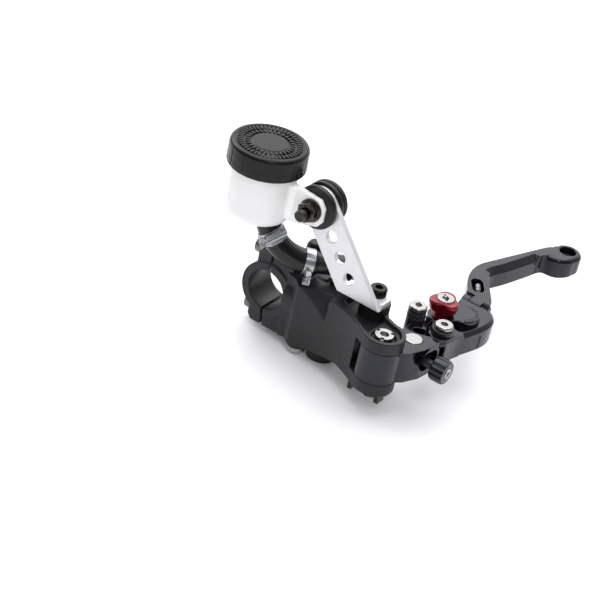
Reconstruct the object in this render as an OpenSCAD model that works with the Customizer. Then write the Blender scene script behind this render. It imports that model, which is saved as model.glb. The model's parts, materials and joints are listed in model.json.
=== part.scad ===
// Radial brake master cylinder for a motorcycle handlebar: a machined cylinder body with a
// bar clamp, a folding lever with adjustable reach, and a remote reservoir on a bracket.
// Origin: centre of the handlebar clamp bore. X runs along the handlebar (inboard is +X),
// Y points forward from the handlebar to the lever, Z is up and is the lever pivot's direction.

/* [Handlebar clamp] */
// Diameter of the handlebar that the clamp grips
bar_d = 22.2; // [21:0.1:22.6]
// Width of the clamp along the handlebar
clamp_w = 20; // [18:0.5:22]
// Gap between the two clamp halves
clamp_gap = 1.2; // [0.6:0.1:2]
// Radius of the clamp ring
ring_r = 16; // [15.5:0.1:17]
// Height of each clamp bolt above or below the bore's centre
clamp_bolt_z = 17.5; // [17.5:0.5:18.5]

/* [Cylinder body] */
// Outside radius of the cylinder barrel
barrel_r = 13; // [12.5:0.1:13.5]
// Forward end of the cylinder barrel
barrel_end_y = 63.5; // [62.5:0.5:64]
// Radius of the piston bore
bore_r = 9.5; // [9:0.1:9.6]
// Height of the cylinder's axis above the handlebar's centre
axis_z = 2; // [1.5:0.5:2.5]
// Thickness of each pivot ear
ear_t = 7; // [6:0.5:8]

/* [Lever] */
// Distance from the handlebar's centre forward to the lever pivot
pivot_y = 77; // [76.5:0.5:77.5]
// Distance from the cylinder's axis inboard to the lever pivot
pivot_x = 17; // [16.5:0.5:17.5]
// Radius of the lever hub and of the ears around it
hub_r = 11; // [10.5:0.1:11.2]
// Height of the lever hub between the ears
hub_h = 18; // [17:0.5:18.5]
// Radius of the trunnion that carries the pushrod
trunnion_r = 5; // [4.5:0.1:5.2]
// Distance from the handlebar's centre forward to the trunnion
trunnion_y = 85; // [84.5:0.5:85.5]
// Radius of the pushrod adjuster knob
knob_r = 6.5; // [5.5:0.1:7]
// Distance from the cylinder's axis outboard to the fold joint
fold_x = 61; // [60:0.5:62]
// Height of the fold pin
fold_z = 5.6; // [5:0.1:6]

/* [Reservoir] */
// Outside radius of the pot
pot_r = 17; // [16:0.5:18]
// Height of the pot's bottom above the handlebar's centre
pot_z = 45; // [43:0.5:46]
// Outside radius of the screw cap
cap_r = 20.5; // [20:0.5:22]
// Height of the screw cap
cap_h = 12.5; // [11:0.5:13]
// Number of grip panels round the cap
cap_panels = 14; // [8:1:24]
// Width of the bracket strap
strap_w = 20; // [18:1:22]
// Thickness of the bracket strap
strap_t = 3; // [2.5:0.1:3]

/* [Hidden] */
$fn = 64;
e = 0.01;

bar_r = bar_d / 2;
hub_top = axis_z + hub_h / 2;
hub_bot = axis_z - hub_h / 2;
deck_top = hub_top + ear_t;
deck_bot = hub_bot - ear_t;
run_gap = 0.3;
bolt_r = 2.5;
lug_z = 22.2;
lug_y = 10;

// Reservoir stack along the handlebar's direction, from inboard to outboard
strap_x = 10;
tab_x = 13.5;
tab_t = 3;
tank_x = 17.2;
tank_y = -9.5;
tie_y = 21;
tie_z = 61.5;
foot_z = 21.5;
foot_y0 = 41.5;
foot_y1 = 67;
post_x = 1.2;
post_y = 60;
post_r = 8;

seat_z = 13.6;

// Bore details and the screws in the body
mouth_r = bore_r + 0.9;
groove_r = bore_r + 1.5;
outlet_y = 35;
bleed_x = -6.5;
bleed_y = 14.5;
plug_x = 7.4;
plug_y = 23.6;
neck_x = 13.2;
// Curve of the inboard face, from the neck out to the pivot ear
flare = [[neck_x, 24], [neck_x, 44], [17.6, 56], [26.6, 71.6]];

// Hose and inlet
elbow_x = -6.9;
elbow_y = 34.2;
elbow_z = 25.8;
elbow_r = 5.6;
elbow_bulge = 0.25;
elbow_bore = 2.1;
gallery_z = 12.2;

// Lever details
blade_px = -17.6;
blade_py = 91.5;
blade_top = 9;
blade_bot = -5;
knob_y0 = 100;
knob_y1 = 108;
cam_x = -32.3;
cam_y = 81.8;
stop_x = -18.8;
stop_y = 74.2;
fold_r = blade_top - fold_z;
tip_top = 9;
tip_bot = -4;
ball_x = -150;
ball_y = 93.5;

// ---------------------------------------------------------------- helpers

// Cylinder along Y from y0 to y1
module rod_y(x, z, r, y0, y1) translate([x, y0, z]) rotate([-90, 0, 0]) cylinder(r = r, h = y1 - y0);

// Cylinder along X from x0 to x1
module rod_x(y, z, r, x0, x1) translate([x0, y, z]) rotate([0, 90, 0]) cylinder(r = r, h = x1 - x0);

// Cylinder along Z from z0 to z1
module rod_z(x, y, r, z0, z1) translate([x, y, z0]) cylinder(r = r, h = z1 - z0);

// Outline in the Y-Z plane extruded along X
module slab_x(x0, x1) translate([x0, 0, 0]) rotate([90, 0, 90]) linear_extrude(x1 - x0) children();

// Outline in the X-Y plane extruded along Z
module slab_z(z0, z1) translate([0, 0, z0]) linear_extrude(z1 - z0) children();

// Box between two corners
module box(a, b) translate(a) cube(b - a);

// Socket head: a cylinder with chamfered rim, hexagon recess and shank, pointing down from z = 0
module socket_head(r, h, hex_r, depth) difference() {
    rotate_extrude() polygon([[0, 0], [r, 0], [r, h - 0.6], [r - 0.6, h], [0, h]]);
    translate([0, 0, h - depth]) cylinder(r = hex_r, h = depth + 1, $fn = 6);
}

function unit(v) = v / norm(v);

// Point on a Bezier curve with four control points
function bez(p, t) = pow(1 - t, 3) * p[0] + 3 * pow(1 - t, 2) * t * p[1]
    + 3 * (1 - t) * t * t * p[2] + t * t * t * p[3];
function bez_dir(p, t) = unit(pow(1 - t, 2) * (p[1] - p[0]) + 2 * (1 - t) * t * (p[2] - p[1])
    + t * t * (p[3] - p[2]));

// Ring of points round a curve's point, square to its direction
function ring_at(c, d, r, n) =
    let (u = unit(cross(d, [1, 0.2, 0])), v = cross(d, u))
    [for (i = [0:n - 1]) c + r * (cos(360 * i / n) * u + sin(360 * i / n) * v)];

// Hollow tube swept along a Bezier curve
module bez_tube(p, r_out, r_in, rings = 20, n = 24) {
    outer = [for (k = [0:rings]) each ring_at(bez(p, k / rings), bez_dir(p, k / rings), r_out, n)];
    inner = [for (k = [0:rings]) each ring_at(bez(p, k / rings), bez_dir(p, k / rings), r_in, n)];
    base = (rings + 1) * n;
    last = rings * n;
    polyhedron(
        points = concat(outer, inner),
        faces = concat(
            [for (k = [0:rings - 1], i = [0:n - 1])
                [k * n + i, k * n + (i + 1) % n, (k + 1) * n + (i + 1) % n, (k + 1) * n + i]],
            [for (k = [0:rings - 1], i = [0:n - 1])
                [base + (k + 1) * n + i, base + (k + 1) * n + (i + 1) % n,
                 base + k * n + (i + 1) % n, base + k * n + i]],
            [for (i = [0:n - 1]) [base + i, base + (i + 1) % n, (i + 1) % n, i]],
            [for (i = [0:n - 1])
                [last + i, last + (i + 1) % n, base + last + (i + 1) % n, base + last + i]]
        )
    );
}

// Round-wire coil spring standing on z = 0, with the wire's centre at radius r
module coil(r, wire, pitch, turns, seg = 14, n = 8) {
    steps = turns * seg;
    polyhedron(
        points = [for (k = [0:steps]) let (a = 360 * k / seg) for (i = [0:n - 1])
            let (b = 360 * i / n, q = r + wire * cos(b))
            [q * cos(a), q * sin(a), wire + pitch * k / seg + wire * sin(b)]],
        faces = concat(
            [[for (i = [n - 1:-1:0]) i]],
            [[for (i = [0:n - 1]) steps * n + i]],
            [for (k = [0:steps - 1], i = [0:n - 1])
                [k * n + i, k * n + (i + 1) % n, (k + 1) * n + (i + 1) % n, (k + 1) * n + i]]
        )
    );
}

// Turns +Z to the direction d
module aim(d) {
    a = acos(d.z / norm(d));
    b = atan2(d.y, d.x);
    rotate([0, 0, b]) rotate([0, a, 0]) children();
}

// ---------------------------------------------------------------- cylinder body and clamp

// Outline of the body's deck seen from above
module deck_plan() {
    polygon(concat([[-10, 12], [10, 12], [10, 16.5], [neck_x, 20.5]], [for (t = [0:0.1:1]) bez(flare, t)],
        [[pivot_x + hub_r, pivot_y - 2], [pivot_x, pivot_y], [pivot_x - hub_r, pivot_y],
         [3, 68.5], [-4, 61], [-9, 50], [-10, 30]]));
    translate([pivot_x, pivot_y]) circle(r = hub_r);
}

// Outline of the body seen from the side
module side_profile() polygon([[11, -22], [30, -19.5], [40, -17], [54, deck_bot], [95, deck_bot],
    [95, deck_top], [44, deck_top], [41.5, 16.6], [30, 16.4], [22, 15], [11, 17]]);

// Tray in the deck, inside a raised rim
module tray_plan() {
    polygon([[-6.5, 47], [8.6, 47], [15.9, 57.6], [22.8, 69], [pivot_x + 8.5, pivot_y - 2],
             [pivot_x, pivot_y], [pivot_x - 8.5, pivot_y], [5.2, 68.5], [-2, 60.2]]);
    translate([pivot_x, pivot_y]) circle(r = hub_r - 2.4);
}

// Space between the ears that the lever hub and arm move in
module hub_slot() slab_z(hub_bot - 0.12, hub_top + 0.12) {
    translate([pivot_x, pivot_y]) circle(r = hub_r + 2.2);
    polygon([[-30, barrel_end_y], [pivot_x, barrel_end_y + 1.9], [pivot_x, 100], [-30, 100]]);
    polygon([[pivot_x - 1, pivot_y], [pivot_x + 14, pivot_y + 0.5], [pivot_x + 14, 100],
             [pivot_x - 1, 100]]);
}

module clamp_lug(y0, y1) for (s = [-1, 1])
    slab_x(-clamp_w / 2 + 1, clamp_w / 2 - 1)
        polygon([[y0, s * 8], [y1, s * 8], [y1, s * (lug_z - 3)], [y1 + (y0 - y1) * 0.25, s * lug_z],
                 [y0, s * lug_z]]);

module cylinder_body() color("#2b2b30") difference() {
    union() {
        rod_y(0, axis_z, barrel_r, 12, barrel_end_y);
        difference() {
            intersection() {
                slab_z(-24, deck_top) deck_plan();
                slab_x(-30, 40) side_profile();
            }
            // leaning facet above the flat inboard face
            translate([neck_x, 23, 14]) rotate([0, 0, 10]) rotate([0, -22.4, 0])
                box([0, -40, -20], [20, 17.5, 40]);
        }
        // front half of the clamp ring, with its two lugs
        difference() {
            rod_x(0, 0, ring_r, -clamp_w / 2, clamp_w / 2);
            box([-20, -30, -30], [20, clamp_gap / 2, 30]);
        }
        clamp_lug(clamp_gap / 2, lug_y + 4);
        // boss of the underside plug, and the outlet boss
        rod_z(plug_x, plug_y, 5.7, -22.6, 0);
        rod_z(0, outlet_y, 8, -27, 0);
        // bleed boss and inlet boss
        rod_z(bleed_x, bleed_y, 5, 0, 20);
        rod_z(elbow_x, elbow_y, 7, 0, 17);
        }
    // handlebar bore
    rod_x(0, 0, bar_r, -30, 30);
    // tray and the deeper seat round the post
    slab_z(deck_top - 2.6, deck_top + 1) tray_plan();
    intersection() {
        slab_z(seat_z, deck_top + 1) tray_plan();
        box([-20, 40, 5], [30, 69, 30]);
    }
    rod_z(post_x, post_y, post_r + 0.2, seat_z, 30);
    hub_slot();
    // pivot bolt: head recess, hole through both ears
    rod_z(pivot_x, pivot_y, 6.4, 13.2, 30);
    rod_z(pivot_x, pivot_y, 4.05, -40, 30);
    // cylinder bore with its wider mouth and circlip groove
    rod_y(0, axis_z, bore_r, 22, 80);
    rod_y(0, axis_z, mouth_r, 57.5, 80);
    rod_y(0, axis_z, groove_r, 60, 61.3);
    // flat on the outboard side of the barrel, for the swinging lever
    box([-30, 54, -20], [-11.5, 80, 30]);
    // underside plug hole, then the outlet's thread and its passage behind the piston cup
    rod_z(plug_x, plug_y, 4.02, -30, -15);
    rod_z(0, outlet_y, 4.5, -30, -17.5);
    rod_z(0, outlet_y - 3, 1.2, -18, 0);
    // inlet socket, feed gallery along the top of the bore, and its two ports
    rod_z(elbow_x, elbow_y, 4.55, 12.6, 30);
    rod_y(elbow_x, gallery_z, 0.8, elbow_y - 1, 47);
    rod_z(elbow_x, 40.6, 0.4, 8, gallery_z);
    rod_z(elbow_x, 46, 0.8, 8, gallery_z);
    // bleed screw's thread and its passage into the end of the bore
    rod_z(bleed_x, bleed_y, 2.52, 10, 30);
    rod_z(bleed_x, bleed_y, 5.2, 20 - e, 30);
    rod_z(bleed_x, bleed_y, 1, 2, 20);
    rod_y(bleed_x, 2.8, 0.9, bleed_y, 23);
    for (s = [-1, 1]) rod_y(0, s * clamp_bolt_z, bolt_r + 0.02, -5, 30);
}

module bar_clamp() color("#303035") difference() {
    union() {
        difference() {
            rod_x(0, 0, ring_r - 0.4, -clamp_w / 2, clamp_w / 2);
            box([-20, -clamp_gap / 2, -30], [20, 30, 30]);
        }
        clamp_lug(-clamp_gap / 2, -lug_y + 1);
    }
    rod_x(0, 0, bar_r, -30, 30);
    for (s = [-1, 1]) {
        rod_y(0, s * clamp_bolt_z, bolt_r + 0.25, -30, 5);
        rod_y(0, s * clamp_bolt_z, 5.4, -30, -lug_y + 1);
    }
}

module clamp_washers() color("silver") for (s = [-1, 1]) difference() {
    rod_y(0, s * clamp_bolt_z, 5.2, -lug_y, -lug_y + 1 - e);
    rod_y(0, s * clamp_bolt_z, bolt_r + 0.25, -lug_y - 1, 0);
}

module clamp_bolts() color("#8c857c") for (s = [-1, 1]) translate([0, -lug_y - e, s * clamp_bolt_z])
    rotate([90, 0, 0]) {
        socket_head(4.5, 5.5, 2.3, 3);
        rotate([180, 0, 0]) cylinder(r = bolt_r, h = 22);
    }

module body_plug() color("silver") difference() {
    union() {
        rod_z(plug_x, plug_y, 4, -23, -15.3);
        rod_z(plug_x, plug_y, 5.2, -25, -22.6 - e);
    }
    translate([plug_x, plug_y, -27]) cylinder(r = 2.3, h = 5, $fn = 6);
}

module bleed_screw() color("#c9c3b4") difference() {
    union() {
        rod_z(bleed_x, bleed_y, 2.5, 11, 20);
        translate([bleed_x, bleed_y, 20]) cylinder(r = 4.3, h = 3.2, $fn = 6);
        rod_z(bleed_x, bleed_y, 2.1, 23.2, 29);
        rod_z(bleed_x, bleed_y, 2.6, 26.2, 27.4);
    }
    rod_z(bleed_x, bleed_y, 0.8, 12, 31);
}

module bleed_cap() color("#1a1a1a") difference() {
    translate([bleed_x, bleed_y, 23.4]) rotate_extrude() polygon([[0, 0], [4.4, 0], [4.6, 1.2], [4, 1.6],
        [4.6, 2.2], [4.6, 3.2], [4, 3.7], [4.5, 4.3], [4.3, 5.4], [3.2, 7.4], [0, 8]]);
    rod_z(bleed_x, bleed_y, 2.15, 23, 29.3);
    rod_z(bleed_x, bleed_y, 2.65, 26.1, 27.5);
}

// ---------------------------------------------------------------- bracket

module bracket_standoff() color("#17171a") difference() {
    rod_z(post_x, post_y, post_r, seat_z + e, foot_z - e);
    rod_z(post_x, post_y, 2.02, 15, 30);
}

module bracket_screw() color("#141416") {
    translate([post_x, post_y, foot_z + strap_t + 0.8]) socket_head(4.6, 4.6, 2.3, 2.6);
    rod_z(post_x, post_y, 2, 15.5, foot_z + strap_t + 1);
}

module bracket_washer() color("silver") difference() {
    rod_z(post_x, post_y, 5.4, foot_z + strap_t, foot_z + strap_t + 0.8 - e);
    rod_z(post_x, post_y, 2.1, 0, 40);
}

// Strap outline in the Y-Z plane: straight sides, round top, leaning back
module strap_outline() {
    lean = atan2((foot_y0 + foot_y1) / 2 - tie_y, tie_z - foot_z);
    difference() {
        union() {
            translate([tie_y, tie_z]) circle(r = strap_w / 2);
            translate([tie_y, tie_z]) rotate(180 + lean) translate([-strap_w / 2, 0]) square([strap_w, 70]);
        }
        translate([0, foot_z - 100]) square([200, 100]);
    }
}

module reservoir_bracket() color("#c9cacc") {
    lean = atan2((foot_y0 + foot_y1) / 2 - tie_y, tie_z - foot_z);
    difference() {
        slab_x(strap_x - strap_t, strap_x) strap_outline();
        rod_x(tie_y, tie_z, 4.6, 0, 20);
        for (k = [1:3]) rod_x(tie_y + sin(lean) * (5.2 + 11.6 * k), tie_z - cos(lean) * (5.2 + 11.6 * k), 3.2, 0, 20);
    }
    difference() {
        union() {
            box([-1, foot_y0 + 1, foot_z], [strap_x - strap_t + e, foot_y1, foot_z + strap_t]);
            box([-4, foot_y0 + 9, foot_z], [0, foot_y1 - 3, foot_z + strap_t]);
            rod_z(-1, foot_y1 - 3, 3, foot_z, foot_z + strap_t);
            rod_z(-1, foot_y0 + 9, 3, foot_z, foot_z + strap_t);
        }
        rod_z(post_x, post_y, 2.3, 0, 40);
    }
}

// ---------------------------------------------------------------- reservoir

module reservoir_grommets() color("#151515") {
    difference() {
        union() {
            translate([tab_x, tie_y, tie_z]) rotate([0, -90, 0]) rotate_extrude()
                polygon([[4.5, 0.02], [11.2, 0.02], [11.6, 0.8], [11.6, 2.6], [11, 3.48], [4.5, 3.48]]);
        }
        rod_x(tie_y, tie_z, 4.5, -20, 40);
    }
    difference() {
        translate([strap_x - strap_t, tie_y, tie_z]) rotate([0, -90, 0]) rotate_extrude()
            polygon([[4.5, 0.02], [11, 0.02], [11.6, 0.8], [11.6, 2.4], [10.6, 3], [11.6, 3.6],
                     [11.6, 5.6], [11, 6.4], [4.5, 6.4]]);
        rod_x(tie_y, tie_z, 4.5, -20, 40);
    }
}

module grommet_sleeve() color("#77777c") difference() {
    rod_x(tie_y, tie_z, 4.45, strap_x - strap_t - 6.4, tab_x);
    rod_x(tie_y, tie_z, 3.05, -20, 40);
}

module reservoir_bolt() color("#3a3733") {
    rod_x(tie_y, tie_z, 3, strap_x - strap_t - 8, 27);
    translate([strap_x - strap_t - 6.42, tie_y, tie_z]) rotate([0, -90, 0]) {
        cylinder(r = 6.4, h = 1);
        translate([0, 0, 1]) socket_head(5, 4, 2.6, 2.4);
    }
}

module reservoir_nut() color("#2f2c29") difference() {
    union() {
        rod_x(tie_y, tie_z, 6.2, tab_x + tab_t + 0.02, tab_x + tab_t + 1.4);
        translate([tab_x + tab_t + 1.4, tie_y, tie_z]) rotate([0, 90, 0]) cylinder(r = 5.6, h = 4, $fn = 6);
        rod_x(tie_y, tie_z, 4.3, tab_x + tab_t + 5, tab_x + tab_t + 6);
    }
    rod_x(tie_y, tie_z, 3.02, -20, 40);
}

// Direction of the angled outlet spigot under the pot
spigot_dir = unit([0, 0.5, -0.86]);
spigot_at = [tank_x, -4, pot_z + 2];
hose_start = spigot_at + 4.4 * spigot_dir;

module reservoir() color("#eeeeea") {
    neck_z = pot_z + 31;
    difference() {
        union() {
            translate([tank_x, tank_y, 0]) rotate_extrude() difference() {
                union() {
                    translate([0, pot_z + 5]) square([pot_r, neck_z - pot_z - 5]);
                    translate([0, pot_z]) square([pot_r - 5, 5]);
                    translate([pot_r - 5, pot_z + 5]) circle(r = 5);
                    translate([0, neck_z - 0.5]) square([pot_r - 1, 7.1]);
                }
                translate([0, pot_z + 6]) square([pot_r - 2, neck_z - pot_z - 7]);
                translate([0, pot_z + 2]) square([pot_r - 6, 5]);
                translate([pot_r - 6, pot_z + 6]) circle(r = 4);
                translate([0, neck_z - 2]) square([pot_r - 2.8, 12]);
            }
            // mounting tab on the pot's wall
            slab_x(tab_x, tab_x + tab_t) polygon([[tank_y + pot_r - 2.5, 49.5], [13, 49.5],
                [25.5, 53.5], [28, 57], [28, 64.5], [25, 68.5], [tank_y + pot_r - 2.5, 70.5]]);
            slab_x(tab_x, tab_x + tab_t + 2.2) polygon([[tank_y + pot_r - 2.5, 50.5], [9.5, 50.5],
                [11.5, 53.5], [11.5, 68.5], [9.5, 70], [tank_y + pot_r - 2.5, 70]]);
            translate(spigot_at) aim(spigot_dir) cylinder(r = 4.15, h = 13);
            translate(spigot_at) aim(spigot_dir) cylinder(r = 6.6, h = 3);
        }
        rod_x(tie_y, tie_z, 3.2, 0, 40);
        translate(spigot_at - 3.2 * spigot_dir) aim(spigot_dir) cylinder(r = 2.6, h = 20);
    }
}

module diaphragm_plate() color("#3a3a3d") translate([tank_x, tank_y, pot_z + 38.72]) difference() {
    cylinder(r = pot_r - 1.6, h = 1.18);
    for (a = [0:90:270]) rotate(a + 45) translate([8, 0, -1]) cylinder(r = 2, h = 4);
}

module reservoir_diaphragm() color("#202020") translate([tank_x, tank_y, 0]) rotate_extrude()
    polygon([[0, pot_z + 34.6], [10, pot_z + 34.6], [11, pot_z + 37.9], [pot_r - 1.2, pot_z + 37.9],
             [pot_r - 1.2, pot_z + 38.7], [9.9, pot_z + 38.7], [9, pot_z + 35.6], [0, pot_z + 35.6]]);

module reservoir_cap() color("#1b1b1c") translate([tank_x, tank_y, pot_z + 41.6 - cap_h]) difference() {
    union() {
        rotate_extrude() polygon([[0, 0], [cap_r, 0], [cap_r - 0.3, cap_h - 1.4], [cap_r - 1.3, cap_h - 0.2],
            [cap_r - 2, cap_h], [0, cap_h]]);
    }
    translate([0, 0, -1]) cylinder(r = pot_r + run_gap + 0.4, h = cap_h - 0.4);
    translate([0, 0, cap_h - 0.7]) rotate_extrude() polygon([[12.4, 0], [cap_r - 3, 0], [cap_r - 3, 1], [12.4, 1]]);
    for (i = [0:cap_panels - 1]) rotate(360 / cap_panels * i)
        translate([cap_r - 0.55, -0.35, 1]) cube([3, 0.7, cap_h - 3]);
}

// ---------------------------------------------------------------- hose and inlet

hose_end = [2.6, 22.6, 25.5];
hose_path = [hose_start, hose_start + 14 * spigot_dir, hose_end - 13 * unit([-0.62, 0.76, 0.02]), hose_end];
hose_r = 6.4;

module reservoir_hose() color("#1c1c1e") bez_tube(hose_path, hose_r, 4.2);

// Band clamp round the hose at parameter t, with a screw housing on one side
module hose_clamp(t, turn) {
    c = bez(hose_path, t);
    translate(c) aim(bez_dir(hose_path, t)) rotate(turn) {
        difference() {
            cylinder(r = hose_r + 0.75, h = 5, center = true);
            cylinder(r = hose_r + 0.05, h = 6, center = true);
        }
        children();
    }
}

module upper_hose_clamp() color("silver") hose_clamp(0.17, 240) {
    difference() {
        union() {
            box([hose_r + 0.6, -5, -2.6], [hose_r + 4.6, 3.5, 2.6]);
            translate([hose_r + 2.6, 8, 0]) rotate([90, 0, 0]) cylinder(r = 1.9, h = 16);
        }
        translate([hose_r + 2.6, 9, 0]) rotate([90, 0, 0]) cylinder(r = 1.1, h = 2.2, $fn = 6);
    }
}

module lower_hose_clamp() color("silver") hose_clamp(0.88, 290) {
    for (y = [-1.6, 0.9]) box([hose_r + 0.5, y, -1.4], [hose_r + 6, y + 0.9, 1.4]);
    translate([hose_r + 4.6, 4.2, 0]) rotate([90, 0, 0]) cylinder(r = 1.1, h = 8);
    box([hose_r + 2.8, 1.7, -1.9], [hose_r + 6.4, 3.6, 1.9]);
}

module inlet_elbow() color("#26262a") {
    d = bez_dir(hose_path, 1);
    knee = [elbow_x, elbow_y, elbow_z];
    difference() {
        union() {
            translate(hose_end - 9 * d) aim(d) cylinder(r = 4.1, h = 9 + norm(knee - hose_end));
            translate(hose_end + 0.05 * d) aim(d) cylinder(r = elbow_r, h = norm(knee - hose_end));
            translate(knee) sphere(r = elbow_r + elbow_bulge);
            rod_z(elbow_x, elbow_y, elbow_r, 18.6, elbow_z);
            rod_z(elbow_x, elbow_y, 4.5, 13.2, 19);
        }
        translate(hose_end - 10 * d) aim(d) cylinder(r = elbow_bore, h = 10 + norm(knee - hose_end));
        rod_z(elbow_x, elbow_y, elbow_bore + 0.2, 10, elbow_z + 0.6);
        // groove of the seal
        translate([elbow_x, elbow_y, 14.2]) rotate_extrude() translate([3.5, 0]) square([2, 1.6]);
    }
}

module inlet_seal() color("black") translate([elbow_x, elbow_y, 15]) rotate_extrude()
    translate([4.02, 0]) circle(r = 0.5);

module inlet_clip() color("silver") difference() {
    rod_z(elbow_x, elbow_y, 6.6, 17.1, 18.4);
    rod_z(elbow_x, elbow_y, 4.55, 10, 30);
    box([elbow_x - 9, elbow_y - 2, 10], [elbow_x, elbow_y + 2, 30]);
}

// ---------------------------------------------------------------- pivot

module pivot_bolt() color("#d5d5d8") {
    difference() {
        rod_z(pivot_x, pivot_y, 4.9, 13.2 + e, 17.2);
        translate([pivot_x, pivot_y, 14.8]) cylinder(r = 2.5, h = 5, $fn = 6);
        for (a = [0, 120, 240]) translate([pivot_x, pivot_y, 16]) rotate(a + 20)
            box([3.6, -0.9, 0], [6, 0.9, 3]);
    }
    rod_z(pivot_x, pivot_y, 4, hub_bot - 1, 14);
    rod_z(pivot_x, pivot_y, 3, deck_bot - 5, hub_bot);
}

module pivot_nut() color("#77777c") translate([pivot_x, pivot_y, 0]) difference() {
    translate([0, 0, deck_bot - 5]) cylinder(r = 5.2, h = 3.8, $fn = 6);
    translate([0, 0, -40]) cylinder(r = 3.02, h = 60);
}

module pivot_lock_plate() color("#5c5a56") difference() {
    union() {
        slab_z(deck_bot - 1.2 + e, deck_bot - e) {
            translate([pivot_x, pivot_y]) circle(r = 8);
            polygon([[pivot_x + 7.4, pivot_y - 3], [pivot_x + 7.6, pivot_y + 3], [pivot_x + 2, pivot_y + 10],
                     [pivot_x - 4, pivot_y + 8.5], [pivot_x - 4, pivot_y]]);
            polygon([[pivot_x + 7, pivot_y - 4], [pivot_x + 6, pivot_y - 11], [pivot_x + 1, pivot_y - 11],
                     [pivot_x - 3, pivot_y - 5]]);
        }
        box([pivot_x + 1, pivot_y - 11, deck_bot - 5.5], [pivot_x + 5.6, pivot_y - 8.6, deck_bot - e]);
        box([pivot_x - 1.5, pivot_y + 4.8, deck_bot - 6.4], [pivot_x + 4.4, pivot_y + 7.4, deck_bot - 0.6]);
    }
    rod_z(pivot_x, pivot_y, 3.1, -50, 50);
}

// ---------------------------------------------------------------- inside the cylinder

module bore_circlip() color("silver") difference() {
    rod_y(0, axis_z, groove_r - 0.1, 60.1, 61.2);
    rod_y(0, axis_z, 8.6, 50, 70);
    box([-3, 55, axis_z - 20], [3, 70, axis_z]);
}

module stop_washer() color("silver") difference() {
    rod_y(0, axis_z, mouth_r - 0.05, 58.7, 60);
    rod_y(0, axis_z, 6, 50, 70);
}

module return_spring() color("#9a9aa0") translate([0, 22.02, axis_z]) rotate([-90, 0, 0])
    coil(r = 6.6, wire = 0.7, pitch = 2.88, turns = 5);

module dust_boot() color("#141414") translate([0, 61.3, axis_z]) rotate([-90, 0, 0]) difference() {
    rotate_extrude() polygon([[3.9, 0], [8.4, 0], [8.4, 2.4], [9.2, 3.2], [8.2, 4.2], [9, 5.2], [7, 6.2],
        [7.4, 6.8], [5.4, 7.9], [3.9, 7.9]]);
    translate([0, 0, -1]) cylinder(r = 4.2, h = 20);
}

module piston() color("#c0b48a") difference() {
    union() {
        rod_y(0, axis_z, bore_r - 0.03, 41.2, 44.2);
        rod_y(0, axis_z, 6.2, 44, 53);
        rod_y(0, axis_z, bore_r - 0.03, 52.8, 58.4);
        rod_y(0, axis_z, 5.6, 58, 61.1);
        rod_y(0, axis_z, 4, 39, 42);
    }
    translate([0, 61 - 3.2 - 0.2, axis_z]) rotate([-90, 0, 0])
        rotate_extrude() polygon([[0, 0], [2.4, 0.4], [3.7, 2.4], [4.6, 8], [0, 8]]);
    // groove of the secondary cup
    difference() {
        rod_y(0, axis_z, bore_r + 1, 54.6, 56.6);
        rod_y(0, axis_z, 7.2, 54, 57);
    }
    for (a = [0:90:270]) translate([0, 40, axis_z]) rotate([0, a, 0]) rod_y(7.9, 0, 0.7, 0, 5);
}

module primary_cup() color("#0f0f0f") translate([0, 38, axis_z]) rotate([-90, 0, 0])
    rotate_extrude() polygon([[4.05, 1.2], [7.2, 1.2], [8.6, 0], [bore_r - 0.02, 0], [bore_r - 0.02, 3.1],
        [4.05, 3.1]]);

module secondary_cup() color("#0f0f0f") difference() {
    rod_y(0, axis_z, bore_r - 0.02, 54.7, 56.5);
    rod_y(0, axis_z, 7.22, 50, 60);
}

module spring_seat() color("silver") difference() {
    rod_y(0, axis_z, 7.4, 37.9, 38.9);
    rod_y(0, axis_z, 2, 30, 45);
}

// ---------------------------------------------------------------- lever base

module base_plan() {
    translate([pivot_x, pivot_y]) circle(r = hub_r);
    polygon([[pivot_x, pivot_y + hub_r], [13, 91], [4, 94.6], [-16.4, 96.4], [-22.5, 94], [-24.5, 88],
             [-23.6, 77], [-22.5, 71.6], [-15.2, 71.4], [-13.8, 75], [-6.2, 76.5], [5, 72.5], [12, 67.5]]);
}

module lever_base() color("#222228") difference() {
    union() {
        slab_z(hub_bot, hub_top) base_plan();
    }
    // pivot bore, trunnion bore and the hole of the stop screw's barrel
    rod_z(pivot_x, pivot_y, 5.5, -50, 50);
    rod_z(0, trunnion_y, trunnion_r + 0.05, -50, 50);
    rod_z(stop_x, stop_y, 3.02, -50, 50);
    rod_z(stop_x, stop_y, 5.3, hub_top - 9, 50);
    // oval lightening hole
    slab_z(-50, 50) {
        translate([-8.8, 82.6]) circle(r = 2.4);
        translate([-10, 87.2]) circle(r = 2.4);
        polygon([[-6.4, 82.6], [-11.2, 82.6], [-12.4, 87.2], [-7.6, 87.2]]);
    }
    // tunnel for the pushrod, open to the front and to the back
    rod_y(-0.4, axis_z, 5.4, 60, 110);
    box([-9, 90, axis_z - 5], [4.6, 110, axis_z + 5]);
    box([-6, 60, axis_z - 5.2], [5, 79, axis_z + 5.2]);
    // steps that leave a tongue for the blade
    for (z = [[hub_top - 4.2, 50], [-50, hub_bot + 4.2]]) slab_z(z[0], z[1])
        polygon([[-8.6, 110], [-8.6, 91], [-10.6, 85.6], [-16, 83], [-40, 79], [-40, 110]]);
    rod_z(blade_px, blade_py, 3.02, -50, 50);
}

module pivot_bush() color("#b08d4a") difference() {
    rod_z(pivot_x, pivot_y, 5.5 - e, hub_bot, hub_top);
    rod_z(pivot_x, pivot_y, 4.04, -50, 50);
}

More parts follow.
